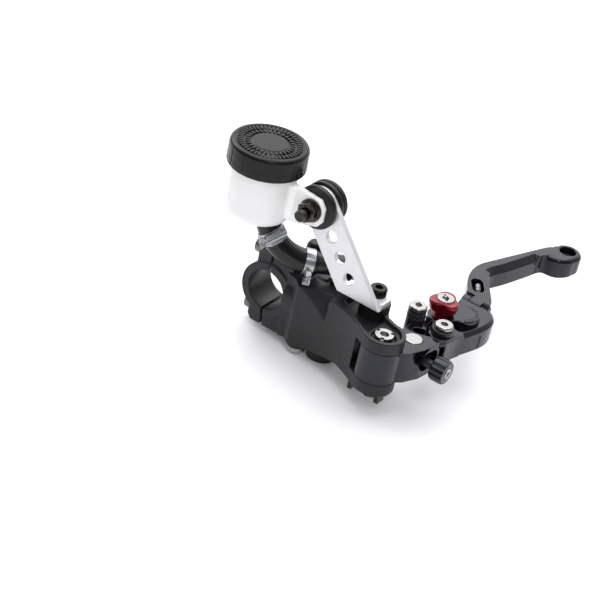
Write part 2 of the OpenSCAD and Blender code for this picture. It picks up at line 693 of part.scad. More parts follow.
module stop_barrel() color("#1c1c1e") difference() {
    union() {
        rod_z(stop_x, stop_y, 4.9, hub_top - 9, 16.4);
        for (i = [0:17]) rotate_about(stop_x, stop_y, 20 * i)
            translate([stop_x + 4.7, stop_y - 0.3, hub_top + 0.4]) cube([0.5, 0.6, 3]);
    }
    rod_z(stop_x, stop_y, 3.02, -50, 50);
    translate([stop_x, stop_y, 12.6]) rotate_extrude() polygon([[4.4, 0], [6, 0], [6, 1], [4.4, 1]]);
}

module rotate_about(x, y, a) translate([x, y, 0]) rotate(a) translate([-x, -y, 0]) children();

module stop_screw() color("#d0d0d4") difference() {
    union() {
        rod_z(stop_x, stop_y, 3, -6, 16.6);
        translate([stop_x, stop_y, 16.41]) rotate_extrude() polygon([[0, 0], [4.6, 0], [4.8, 0.5], [4.8, 1.1],
            [4.2, 1.7], [0, 1.7]]);
    }
    translate([stop_x, stop_y, 17.2]) rotate(25) cube([5, 1.1, 3], center = true);
}

// ---------------------------------------------------------------- trunnion and pushrod

module trunnion() color("#d2d2d2") difference() {
    translate([0, trunnion_y, 0]) rotate_extrude() polygon([[0, -9.6], [trunnion_r - 0.4, -9.6],
        [trunnion_r, -9.2], [trunnion_r, -8.8], [trunnion_r - 0.7, -8.8], [trunnion_r - 0.7, -7.8],
        [trunnion_r, -7.8], [trunnion_r, 10.9], [trunnion_r - 0.5, 11.4], [0, 11.4]]);
    rod_y(0, axis_z, 2.55, 60, 110);
}

module trunnion_clip() color("silver") difference() {
    rod_z(0, trunnion_y, trunnion_r + 1.4, -8.75, -7.85);
    rod_z(0, trunnion_y, trunnion_r - 0.68, -20, 20);
    box([-1.5, trunnion_y - 10, -10], [1.5, trunnion_y, 0]);
}

module pushrod() color("#b9b9bd") difference() {
    union() {
        rod_y(0, axis_z, 2.5, 61, knob_y1 - 3);
        translate([0, 61, axis_z]) sphere(r = 3.2);
    }
    rod_y(0, axis_z, 1.6, knob_y1 - 11, 120);
}

module adjuster_knob() color("#1d1d20") difference() {
    rod_y(0, axis_z, knob_r, knob_y0, knob_y1);
    rod_y(0, axis_z, 2.52, 90, knob_y1 - 2.98);
    rod_y(0, axis_z, 1.58, 90, knob_y1 + 1);
    for (a = [0:90:270]) translate([0, 0, axis_z]) rotate([0, a + 20, 0]) {
        rod_y(knob_r + 0.7, 0, 1.7, knob_y0 - 1, knob_y1 - 1.2);
    }
    translate([0, knob_y1 - 1.1, axis_z]) rotate([-90, 0, 0]) cylinder(r = 3, h = 3);
}

module knob_screw() color("#cfcfd2") difference() {
    union() {
        rod_y(0, axis_z, 2.9, knob_y1 - 1.1 + e, knob_y1 + 0.4);
        rod_y(0, axis_z, 1.55, knob_y1 - 10, knob_y1 - 1);
    }
    translate([0, knob_y1 + 0.4, axis_z]) rotate([0, 35, 0]) cube([7, 1.4, 0.9], center = true);
}

// ---------------------------------------------------------------- blade

module blade_plan() polygon([[-12.4, 97.6], [-9.6, 95.6], [-9, 91], [-11.6, 86.6], [-16.4, 84.2], [-25.4, 82.8],
    [-28.5, 76], [-33, 73.6], [-39, 74.6], [-46, 79.5], [-55, 79.5], [-fold_x, 78.2], [-fold_x, 94.6],
    [-57.5, 100], [-52.5, 103], [-42, 103.4], [-24.7, 98.6]]);

module lever_blade() color("#232329") difference() {
    union() {
        slab_z(blade_bot, blade_top) blade_plan();
        slab_z(hub_top - 4, hub_top) polygon([[-9.4, 95], [-9, 91], [-11.6, 86.6], [-16.4, 84.2], [-25, 84.5],
            [-25, 98.5], [-13, 97.4]]);
        // side knuckles of the fold joint
        for (y = [[78.4, 82.6], [90.2, 94.4]]) rod_y(-fold_x, fold_z, fold_r, y[0], y[1]);
    }
    // slot for the base's tongue, closed at the front
    slab_z(hub_bot + 3.7, hub_top - 3.9) polygon([[0, 110], [-11, 110], [-12.4, 96.8], [-26, 97.2],
        [-27.4, 88], [-26.6, 82], [-20, 60], [0, 60]]);
    slab_z(-60, hub_bot + 3.9) polygon([[0, 110], [-9.4, 110], [-9, 60], [0, 60]]);
    rod_z(blade_px, blade_py, 3.05, -50, 50);
    // raised pad's under-step, front face pocket and the shaft of the reach knob
    box([-54, 102.2, -1.4], [-28, 110, 6.2]);
    rod_z(cam_x, cam_y, 3.05, -50, 50);
    // room above the side knuckles for the tip as it folds up
    difference() {
        box([-fold_x - 5, 70, fold_z], [-fold_x + fold_r + run_gap, 100, 30]);
        rod_y(-fold_x, fold_z, fold_r, 60, 120);
    }
    // central slot of the fold joint for the tip's knuckle
    box([-fold_x - 6, 82.6 + e, fold_z - fold_r - 1], [-fold_x + fold_r + run_gap + 0.3, 90.2 - e, 30]);
    rod_y(-fold_x, fold_z, 1.55, 70, 100);
}

module index_plate() color("#2c2c32") difference() {
    slab_z(blade_top + e, 12.6) {
        translate([-40.6, 89.4]) circle(r = 9.6);
        polygon([[-46, 88], [-45, 82.8], [-40, 82], [-35, 83.6], [-31, 86.6], [-28.6, 90], [-31.6, 92.7]]);
    }
    rod_z(cam_x, cam_y, 5.4, -50, 50);
    for (i = [0:3]) rotate_about(cam_x, cam_y, 12 + 15 * i)
        translate([cam_x - 0.35, cam_y + 9, 12.2]) cube([0.7, 2.6, 2]);
}

module blade_washer() color("#141416") difference() {
    rod_z(blade_px, blade_py, 5.9, hub_top + e, hub_top + 2.6);
    rod_z(blade_px, blade_py, 3.1, -50, 50);
}

module blade_screw() color("#d4d4d6") difference() {
    union() {
        rod_z(blade_px, blade_py, 3, blade_bot - 1, hub_top + 2.7);
        translate([blade_px, blade_py, hub_top + 2.61]) rotate_extrude() polygon([[0, 0], [4.6, 0], [4.9, 0.5],
            [4.9, 1.7], [4.3, 2.4], [0, 2.4]]);
    }
    translate([blade_px, blade_py, hub_top + 3.6]) cylinder(r = 2.1, h = 4, $fn = 6);
}

// ---------------------------------------------------------------- reach knob

// Three-lobed outline of the reach knob, with a scallop between each two lobes
module knob_outline() difference() {
    union() {
        circle(r = 6.4);
        for (a = [75, 195, 315]) rotate(a) {
            translate([4.6, 0]) circle(r = 3.9);
            polygon([[0, -6.4], [4.6, -3.9], [4.6, 3.9], [0, 6.4]]);
        }
    }
    for (a = [15, 135, 255]) rotate(a) translate([14.6, 0]) circle(r = 8.6);
}

module reach_knob() color("#7d1522") difference() {
    slab_z(blade_top + run_gap, 20) translate([cam_x, cam_y]) knob_outline();
    rod_z(cam_x, cam_y, 3.02, -50, 18.2);
    rod_z(cam_x, cam_y, 4.6, 18.2, 50);
    slab_z(blade_top, 13.4) difference() {
        translate([cam_x, cam_y]) circle(r = 12);
        translate([cam_x, cam_y]) circle(r = 5);
    }
}

module reach_screw() color("#cfcfd2") difference() {
    union() {
        rod_z(cam_x, cam_y, 4.5, 18.2 + e, 20.7);
        rod_z(cam_x, cam_y, 3, blade_bot - 1, 19);
    }
    translate([cam_x, cam_y, 20.8]) rotate(40) cube([6.6, 1.2, 1.6], center = true);
}

// ---------------------------------------------------------------- folding tip

module tip_plan() polygon([[-fold_x - 0.3, 78.2], [-66.4, 77], [-73, 73], [-79.7, 69.8], [-88, 67.6],
    [-96.3, 67.8], [-104, 70], [-120, 75.2], [-134, 79.8], [-143, 83], [-147, 85.8], [-147, 100],
    [-143.4, 100.5], [-140.4, 98.9], [-137.6, 96.2], [-136, 93], [-135.6, 90], [-135, 87.4],
    [-132.6, 86], [-125.8, 84.3], [-115.6, 81.9], [-105.6, 79.4], [-97.5, 76.8], [-92.5, 76.2],
    [-88.6, 77.6], [-84, 80.6], [-78, 84.4], [-72.5, 88.4], [-67, 92.2], [-fold_x - 0.3, 94.6]]);

// Barrel-shaped end of the tip, turned about its own upright axis
module tip_ball() translate([ball_x, ball_y, 0]) rotate_extrude() polygon([[0, tip_bot + 0.8], [5, tip_bot + 0.8],
    [7.4, tip_bot + 2], [8.3, tip_bot + 4], [8.3, tip_top - 3.4], [7.5, tip_top - 1], [6, tip_top], [0, tip_top]]);

module lever_tip() color("#232329") difference() {
    union() {
        slab_z(tip_bot, tip_top) tip_plan();
        tip_ball();
        // centre knuckle of the fold joint
        rod_y(-fold_x, fold_z, fold_r, 82.9, 89.9);
        box([-fold_x - 5, 82.9, fold_z - fold_r], [-fold_x, 89.9, tip_top]);
    }
    box([-fold_x - 0.3, 60, -30], [0, 82.9, 60]);
    box([-fold_x - 0.3, 89.9, -30], [0, 120, 60]);
    box([-fold_x - 0.3, 60, -30], [0, 120, fold_z - fold_r]);
    // clearance for the blade's side knuckles
    rod_y(-fold_x, fold_z, fold_r + run_gap, 60, 82.9);
    rod_y(-fold_x, fold_z, fold_r + run_gap, 89.9, 120);
    rod_y(-fold_x, fold_z, 1.55, 60, 120);
    // spring pocket and the hole in the ball end
    slab_z(4, 20) polygon([[-79.5, 73.6], [-82.5, 77.2], [-72, 85.6], [-68.2, 79.6]]);
    rod_z(ball_x, ball_y, 4.6, 4.5, 20);
    // underside rises towards the ball end
    translate([-118, 60, tip_bot]) rotate([0, -4, 0]) translate([-60, 0, -20]) cube([60, 60, 20]);
}

module fold_pin() color("silver") rod_y(-fold_x, fold_z, 1.5, 78.5, 94.3);

module fold_spring() color("#b8b8bc") translate([-78.3, 77.1, 6.6]) rotate([0, 90, 34])
    coil(r = 1.5, wire = 0.35, pitch = 1.3, turns = 5);

// ---------------------------------------------------------------- nodes

cylinder_body();
bar_clamp();
clamp_bolts();
clamp_washers();
body_plug();
bleed_screw();
bleed_cap();
bracket_standoff();
bracket_screw();
bracket_washer();
reservoir_bracket();
reservoir_bolt();
reservoir_nut();
reservoir_grommets();
grommet_sleeve();
reservoir();
diaphragm_plate();
reservoir_diaphragm();
reservoir_cap();
reservoir_hose();
upper_hose_clamp();
lower_hose_clamp();
inlet_elbow();
inlet_seal();
inlet_clip();
pivot_bolt();
pivot_nut();
pivot_lock_plate();
bore_circlip();
stop_washer();
return_spring();
dust_boot();
piston();
primary_cup();
secondary_cup();
spring_seat();
lever_base();
pivot_bush();
stop_barrel();
stop_screw();
trunnion();
trunnion_clip();
pushrod();
adjuster_knob();
knob_screw();
lever_blade();
index_plate();
blade_screw();
blade_washer();
reach_knob();
reach_screw();
lever_tip();
fold_pin();
fold_spring();
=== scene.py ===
import json
import math

import bmesh
import bpy
from mathutils import Matrix, Vector


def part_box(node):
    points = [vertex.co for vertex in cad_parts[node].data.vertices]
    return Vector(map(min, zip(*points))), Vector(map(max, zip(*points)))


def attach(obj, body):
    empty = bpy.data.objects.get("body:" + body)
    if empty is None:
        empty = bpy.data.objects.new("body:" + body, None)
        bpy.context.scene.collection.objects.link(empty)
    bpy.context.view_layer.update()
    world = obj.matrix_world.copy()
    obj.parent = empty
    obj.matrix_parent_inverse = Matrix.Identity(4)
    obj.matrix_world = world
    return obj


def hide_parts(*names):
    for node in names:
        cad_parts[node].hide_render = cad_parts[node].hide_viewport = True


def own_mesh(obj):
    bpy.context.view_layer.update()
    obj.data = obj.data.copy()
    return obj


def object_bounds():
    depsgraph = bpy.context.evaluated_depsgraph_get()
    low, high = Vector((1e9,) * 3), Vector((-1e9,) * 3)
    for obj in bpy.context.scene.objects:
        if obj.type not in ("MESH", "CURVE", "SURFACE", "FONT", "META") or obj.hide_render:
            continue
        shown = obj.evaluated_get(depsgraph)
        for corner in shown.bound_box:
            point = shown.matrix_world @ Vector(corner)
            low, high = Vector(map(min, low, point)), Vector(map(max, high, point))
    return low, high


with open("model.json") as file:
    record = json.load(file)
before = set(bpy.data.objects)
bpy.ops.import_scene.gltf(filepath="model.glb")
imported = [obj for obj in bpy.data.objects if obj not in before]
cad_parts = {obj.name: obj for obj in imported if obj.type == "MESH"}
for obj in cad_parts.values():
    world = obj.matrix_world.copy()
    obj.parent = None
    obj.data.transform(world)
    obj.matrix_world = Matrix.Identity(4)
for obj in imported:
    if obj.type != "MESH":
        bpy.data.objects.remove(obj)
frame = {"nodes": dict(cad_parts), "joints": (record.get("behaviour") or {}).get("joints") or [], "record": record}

cad_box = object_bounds()

# Radial brake master cylinder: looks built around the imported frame.
# Geometry below is written in millimetres in the frame's own axes and scaled once, in to_object().
# +X is inboard along the handlebar, +Y is forward, +Z is up.

MM = 0.001  # one millimetre in metres
WELD = 0.004  # corners closer than this count as one
FLAT_ANGLE = 1.2  # faces closer to level than this, in degrees, are joined
ON_AXIS = 1e-6  # a smaller radius is a point on the axis
THROUGH = 50  # reach of a tool that cuts right through

JOINT = {j["name"]: Vector(j["pos_m"]) / MM for j in frame["joints"] if "pos_m" in j}
BODY_OF = {n: body for body, nodes in frame["record"]["behaviour"]["bodies"].items() for n in nodes}
SLOT_OF = {p["node"]: p["material_slot"] for p in frame["record"]["subparts"]}
PIVOT = JOINT["lever_pull"]
TRUNNION = JOINT["trunnion_turn"]
CAM = JOINT["reach_knob_turn"]
BLADE = JOINT["blade_reach"]
FOLD = JOINT["tip_fold"]
CAP = JOINT["cap_turn"]


def span(node):
    """Lowest and highest corner of a CAD node, in millimetres."""
    low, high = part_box(node)
    return low / MM, high / MM


# ---------------------------------------------------------------- geometry kit

PLANES = {  # the two directions of an outline, and the direction it is extruded or turned about
    "y": (Vector((0, 0, 1)), Vector((1, 0, 0)), Vector((0, 1, 0))),
    "z": (Vector((1, 0, 0)), Vector((0, 1, 0)), Vector((0, 0, 1))),
}


def to_object(bm):
    """Turns a closed bmesh in millimetres into an object in metres."""
    bmesh.ops.recalc_face_normals(bm, faces=bm.faces[:])
    mesh = bpy.data.meshes.new("tool")
    bm.to_mesh(mesh)
    bm.free()
    mesh.transform(Matrix.Scale(MM, 4))
    obj = bpy.data.objects.new("tool", mesh)
    bpy.context.scene.collection.objects.link(obj)
    return obj


def prism(outline, low, high, axis="z"):
    """Outline extruded along an axis. Outline pairs are (x, y) or, along y, (z, x)."""
    u, v, w = PLANES[axis]
    bm = bmesh.new()
    rings = [[bm.verts.new(u * a + v * b + w * h) for a, b in outline] for h in (low, high)]
    bm.faces.new(rings[0][::-1])
    bm.faces.new(rings[1])
    for i in range(len(outline)):
        j = (i + 1) % len(outline)
        bm.faces.new([rings[0][i], rings[0][j], rings[1][j], rings[1][i]])
    return to_object(bm)


def lathe(profile, at=(0, 0, 0), axis="z", steps=64, shape=None):
    """Profile of (radius, height) pairs turned about an axis through at. A profile that starts off the
    axis closes on itself. shape(angle, radius, height) gives the radius where it isn't round."""
    u, v, w = PLANES[axis]
    at = Vector(at)
    bm = bmesh.new()
    rings = []
    for r, h in profile:
        if r < ON_AXIS:
            rings.append([bm.verts.new(at + w * h)])
            continue
        ring = []
        for k in range(steps):
            t = math.tau * k / steps
            q = shape(t, r, h) if shape else r
            ring.append(bm.verts.new(at + (u * math.cos(t) + v * math.sin(t)) * q + w * h))
        rings.append(ring)
    if profile[0][0] > ON_AXIS:
        rings.append(rings[0])
    for a, b in zip(rings, rings[1:]):
        for k in range(steps):
            corners = [a[k % len(a)], a[(k + 1) % len(a)], b[(k + 1) % len(b)], b[k % len(b)]]
            face = list(dict.fromkeys(corners))
            if len(face) > 2:
                bm.faces.new(face)
    return to_object(bm)


def rod(axis, at, r, low, high, steps=64):
    """Round bar along an axis; low and high are absolute along it."""
    at = Vector(at)
    base = at - PLANES[axis][2] * at.dot(PLANES[axis][2])
    return lathe([(0, low), (r, low), (r, high), (0, high)], base, axis, steps)


def block(low, high):
    """Box between two corners."""
    outline = [(low[0], low[1]), (high[0], low[1]), (high[0], high[1]), (low[0], high[1])]
    return prism(outline, low[2], high[2])


def arc(x, y, r, start, end, steps=12):
    """Points round (x, y) from one angle to another, in degrees."""
    angles = [math.radians(start + (end - start) * k / steps) for k in range(steps + 1)]
    return [(x + r * math.cos(a), y + r * math.sin(a)) for a in angles]


def rounded(x0, y0, x1, y1, r, steps=6):
    """Rectangle outline with round corners."""
    return (arc(x1 - r, y0 + r, r, -90, 0, steps) + arc(x1 - r, y1 - r, r, 0, 90, steps)
            + arc(x0 + r, y1 - r, r, 90, 180, steps) + arc(x0 + r, y0 + r, r, 180, 270, steps))


def spline(points, steps):
    """Smooth outline through (x, y) pairs, a Catmull-Rom curve."""
    p = [Vector(q) for q in points]
    p = [2 * p[0] - p[1]] + p + [2 * p[-1] - p[-2]]
    made = []
    for i in range(1, len(p) - 2):
        for k in range(steps):
            t = k / steps
            made.append(0.5 * (2 * p[i] + (p[i + 1] - p[i - 1]) * t
                               + (2 * p[i - 1] - 5 * p[i] + 4 * p[i + 1] - p[i + 2]) * t ** 2
                               + (3 * p[i] - p[i - 1] - 3 * p[i + 1] + p[i + 2]) * t ** 3))
    return [tuple(q) for q in made + [p[-2]]]


def settle(obj):
    """Applies an object's modifiers."""
    bpy.context.view_layer.update()
    graph = bpy.context.evaluated_depsgraph_get()
    mesh = bpy.data.meshes.new_from_object(obj.evaluated_get(graph))
    obj.modifiers.clear()
    obj.data = mesh
    return obj


def boolean(obj, tools, operation):
    """Exact boolean with each tool in turn; the tools are used up."""
    for tool in tools:
        step = obj.modifiers.new("step", "BOOLEAN")
        step.operation = operation
        step.object = tool
        step.solver = "EXACT"
    settle(obj)
    for tool in tools:
        bpy.data.objects.remove(tool)
    return obj


def cut(obj, *tools):
    """Takes the tools away from a piece."""
    return boolean(obj, tools, "DIFFERENCE")


def fuse(obj, *tools):
    """Adds the tools to a piece."""
    return boolean(obj, tools, "UNION")


def join(*objs):
    """One object from several closed shells."""
    bm = bmesh.new()
    for obj in objs:
        bm.from_mesh(obj.data)
        bpy.data.objects.remove(obj)
    mesh = bpy.data.meshes.new("joined")
    bm.to_mesh(mesh)
    bm.free()
    made = bpy.data.objects.new("joined", mesh)
    bpy.context.scene.collection.objects.link(made)
    return made


def chamfer(obj, wanted, width, segments=1):
    """Bevels the edges whose two ends both satisfy wanted(point in mm)."""
    bm = bmesh.new()
    bm.from_mesh(obj.data)
    edges = [e for e in bm.edges if all(wanted(v.co / MM) for v in e.verts)]
    bmesh.ops.bevel(bm, geom=edges, offset=width * MM, offset_type="OFFSET", segments=segments,
                    profile=0.5, affect="EDGES", clamp_overlap=False)
    bm.to_mesh(obj.data)
    bm.free()
    return obj


def soften(obj, width=0.3, segments=2, angle=32):
    """Joins flat faces, rounds the sharp edges, and smooths the shading."""
    bm = bmesh.new()
    bm.from_mesh(obj.data)
    bmesh.ops.remove_doubles(bm, verts=bm.verts[:], dist=WELD * MM)
    bmesh.ops.dissolve_degenerate(bm, edges=bm.edges[:], dist=WELD * MM)
    bmesh.ops.dissolve_limit(bm, angle_limit=math.radians(FLAT_ANGLE), verts=bm.verts[:], edges=bm.edges[:])
    for face in bm.faces:
        face.smooth = True
    bm.to_mesh(obj.data)
    bm.free()
    if width:
        edge = obj.modifiers.new("edges", "BEVEL")
        edge.width = width * MM
        edge.segments = segments
        edge.limit_method = "ANGLE"
        edge.angle_limit = math.radians(angle)
        edge.use_clamp_overlap = False
        edge.miter_outer = "MITER_ARC"
    shade = obj.modifiers.new("shade", "WEIGHTED_NORMAL")
    shade.keep_sharp = False
    return settle(obj)


def remould(obj, voxel, passes, share):
    """Rebuilds a solid with soft edges and fillets, as a blasted or moulded surface has."""
    grid = obj.modifiers.new("grid", "REMESH")
    grid.mode = "VOXEL"
    grid.voxel_size = voxel * MM
    relax = obj.modifiers.new("relax", "SMOOTH")
    relax.factor = 0.5
    relax.iterations = passes
    thin = obj.modifiers.new("thin", "DECIMATE")
    thin.ratio = share
    settle(obj)
    obj.data.polygons.foreach_set("use_smooth", [True] * len(obj.data.polygons))
    return obj


def near(points, z):
    """Test for the corners of an outline at one height, for chamfer()."""
    level, reach_squared = 0.02, 0.001

    def at_corner(p):
        return any((p.x - x) ** 2 + (p.y - y) ** 2 < reach_squared for x, y in points)

    return lambda p: abs(p.z - z) < level and at_corner(p)


def capsule(a, b, r, steps=8):
    """Outline of a slot with round ends at a and b."""
    turn = math.degrees(math.atan2(b[1] - a[1], b[0] - a[0]))
    far_end = arc(b[0], b[1], r, turn - 90, turn + 90, steps)
    return far_end + arc(a[0], a[1], r, turn + 90, turn + 270, steps)


def tube(path, r_out, r_in, sides=40):
    """Hollow round tube along a list of points."""
    bm = bmesh.new()
    side = Vector((1, 0.2, 0))
    loops = []
    for i, at in enumerate(path):
        along = (path[min(i + 1, len(path) - 1)] - path[max(i - 1, 0)]).normalized()
        side = (side - along * side.dot(along)).normalized()
        other = along.cross(side)
        for r in (r_out, r_in):
            loops.append([bm.verts.new(at + (side * math.cos(t) + other * math.sin(t)) * r)
                          for t in (math.tau * k / sides for k in range(sides))])
    outer, inner = loops[::2], loops[1::2]
    ends = [(outer[0], inner[0]), (outer[-1], inner[-1])]
    for a, b in list(zip(outer, outer[1:])) + list(zip(inner, inner[1:])) + ends:
        for k in range(sides):
            bm.faces.new([a[k], a[(k + 1) % sides], b[(k + 1) % sides], b[k]])
    return to_object(bm)


def stand(obj, at, along, facing):
    """Moves a piece built about the origin: its z goes along, and its x towards facing."""
    w = Vector(along).normalized()
    u = (Vector(facing) - w * Vector(facing).dot(w)).normalized()
    turn = Matrix((u, w.cross(u), w)).transposed().to_4x4()
    obj.data.transform(Matrix.Translation(Vector(at) * MM) @ turn)
    return obj


def ribs(count, r_low, r_high, z_low, z_high, width, start=0.0, sweep=math.tau):
    """Ring of small radial bars about the origin, as separate closed shells."""
    bm = bmesh.new()
    for i in range(count):
        t = start + sweep * i / count
        out = Vector((math.cos(t), math.sin(t), 0))
        side = Vector((-math.sin(t), math.cos(t), 0)) * width / 2
        corners = ((r_low, -1), (r_high, -1), (r_high, 1), (r_low, 1))
        loops = [[bm.verts.new(out * r + side * k + Vector((0, 0, z))) for r, k in corners]
                 for z in (z_low, z_high)]
        bm.faces.new(loops[0][::-1])
        bm.faces.new(loops[1])
        for k in range(4):
            bm.faces.new([loops[0][k], loops[0][(k + 1) % 4], loops[1][(k + 1) % 4], loops[1][k]])
    return to_object(bm)


def moved(obj, at):
    """Shifts a piece by a distance in mm."""
    obj.data.transform(Matrix.Translation(Vector(at) * MM))
    return obj


def copy_of(node):
    """New object with a CAD node's mesh."""
    obj = bpy.data.objects.new("copy", frame["nodes"][node].data.copy())
    bpy.context.scene.collection.objects.link(obj)
    return obj


def place(obj, name, node, paint, *others):
    """Names a piece, gives it its material, and lets it ride in place of its CAD node."""
    obj.name = name
    obj.data.name = name
    obj.data.materials.clear()
    obj.data.materials.append(paint)
    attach(obj, BODY_OF[node])
    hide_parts(node, *others)
    return obj


# ---------------------------------------------------------------- materials


def nodes_of(name):
    """New material, its node tree and its shader."""
    paint = bpy.data.materials.new(name)
    paint.use_nodes = True
    tree = paint.node_tree
    return paint, tree, tree.nodes["Principled BSDF"]


def add(tree, kind, links=(), **values):
    """Adds a node, sets properties and input values, and links inputs."""
    node = tree.nodes.new(kind)
    for key, value in values.items():
        if hasattr(node, key):
            setattr(node, key, value)
        else:
            node.inputs[key.replace("_", " ").title()].default_value = value
    for socket, source in links:
        tree.links.new(source, node.inputs[socket])
    return node


EDGE_WEAR_AND_HIGHLIGHT_RADIUS = 0.35  # how far from an edge the lighter edge colour reaches, in mm; it is partly wear, partly a painted highlight
EDGE_WEAR_AND_HIGHLIGHT_FROM, EDGE_WEAR_AND_HIGHLIGHT_FULL = 0.995, 0.93  # cosine between the rounded and the true normal where the lighter edge colour (wear and painted highlight) starts and is full
TONE_STOPS = (0.3, 0.7)  # patch noise at which the colour is darkest and lightest
NOISE_SUM = (0.6, 1.4)  # range of the two noises added together
SMOOTHEST = 0.03


def surface(name, colour, rough, metallic=0.0, tone=0.25, spread=0.1, patch=120, grain=2500, bump=0.004,
            edge_wear_and_highlight=None, edge_wear_and_highlight_amount=0.5, **sockets):
    """Procedural surface: colour varies in patches, roughness in patches and grain, with a fine bump.
    tone and spread say how far colour and roughness vary, patch and grain are noise scales, and bump is a
    height in mm. The edge colour argument is a lighter colour painted along the edges, partly rubbed wear and
    partly a painted highlight; its amount says how strongly it shows."""
    paint, tree, shader = nodes_of(name)
    where = add(tree, "ShaderNodeTexCoord").outputs["Object"]
    patches = add(tree, "ShaderNodeTexNoise", [("Vector", where)],
                  Scale=patch, Detail=4.0, Roughness=0.6)
    fine = add(tree, "ShaderNodeTexNoise", [("Vector", where)],
               Scale=grain, Detail=3.0, Roughness=0.55)
    ramp = add(tree, "ShaderNodeValToRGB", [("Fac", patches.outputs["Fac"])])
    for stop, at, share in zip(ramp.color_ramp.elements, TONE_STOPS, (1 - tone, 1 + tone)):
        stop.position = at
        stop.color = (*[min(1, c * share) for c in colour], 1)
    base = ramp.outputs["Color"]
    # Edges get a lighter colour from the bevel mask: partly wear, partly a painted highlight where light would
    # catch the rounded edges
    if edge_wear_and_highlight:
        edge = add(tree, "ShaderNodeBevel", samples=4)
        edge.inputs["Radius"].default_value = EDGE_WEAR_AND_HIGHLIGHT_RADIUS * MM
        flat = add(tree, "ShaderNodeNewGeometry").outputs["Normal"]
        turn = add(tree, "ShaderNodeVectorMath", [(0, edge.outputs[0]), (1, flat)],
                   operation="DOT_PRODUCT")
        edge_wear_and_highlight_mask = add(tree, "ShaderNodeMapRange", [("Value", turn.outputs["Value"])])
        edge_wear_and_highlight_mask.inputs["From Min"].default_value = EDGE_WEAR_AND_HIGHLIGHT_FROM
        edge_wear_and_highlight_mask.inputs["From Max"].default_value = EDGE_WEAR_AND_HIGHLIGHT_FULL
        amount = add(tree, "ShaderNodeMath", [(0, edge_wear_and_highlight_mask.outputs[0]), (1, patches.outputs["Fac"])],
                     operation="MULTIPLY")
        share = add(tree, "ShaderNodeMath", [(0, amount.outputs[0])], operation="MULTIPLY")
        share.inputs[1].default_value = edge_wear_and_highlight_amount
        mixed = add(tree, "ShaderNodeMix", data_type="RGBA")  # colours are inputs 6 and 7, and output 2
        tree.links.new(share.outputs[0], mixed.inputs["Factor"])
        tree.links.new(base, mixed.inputs[6])
        mixed.inputs[7].default_value = (*edge_wear_and_highlight, 1)
        base = mixed.outputs[2]
    tree.links.new(base, shader.inputs["Base Color"])
    both = add(tree, "ShaderNodeMath", [(0, patches.outputs["Fac"]), (1, fine.outputs["Fac"])])
    level = add(tree, "ShaderNodeMapRange", [("Value", both.outputs[0])])
    level.inputs["From Min"].default_value, level.inputs["From Max"].default_value = NOISE_SUM
    level.inputs["To Min"].default_value = max(SMOOTHEST, rough - spread)
    level.inputs["To Max"].default_value = min(1, rough + spread)
    tree.links.new(level.outputs[0], shader.inputs["Roughness"])
    if bump:
        relief = add(tree, "ShaderNodeBump", [("Height", fine.outputs["Fac"])])
        relief.inputs["Strength"].default_value = 1.0
        relief.inputs["Distance"].default_value = bump * MM
        tree.links.new(relief.outputs[0], shader.inputs["Normal"])
    shader.inputs["Metallic"].default_value = metallic
    for key, value in sockets.items():
        shader.inputs[key.replace("_", " ")].default_value = value
    return paint


# Lighter edge colour of the black parts: partly wear, partly a painted highlight
BLACK_EDGE_WEAR_AND_HIGHLIGHT = (0.08, 0.08, 0.09)

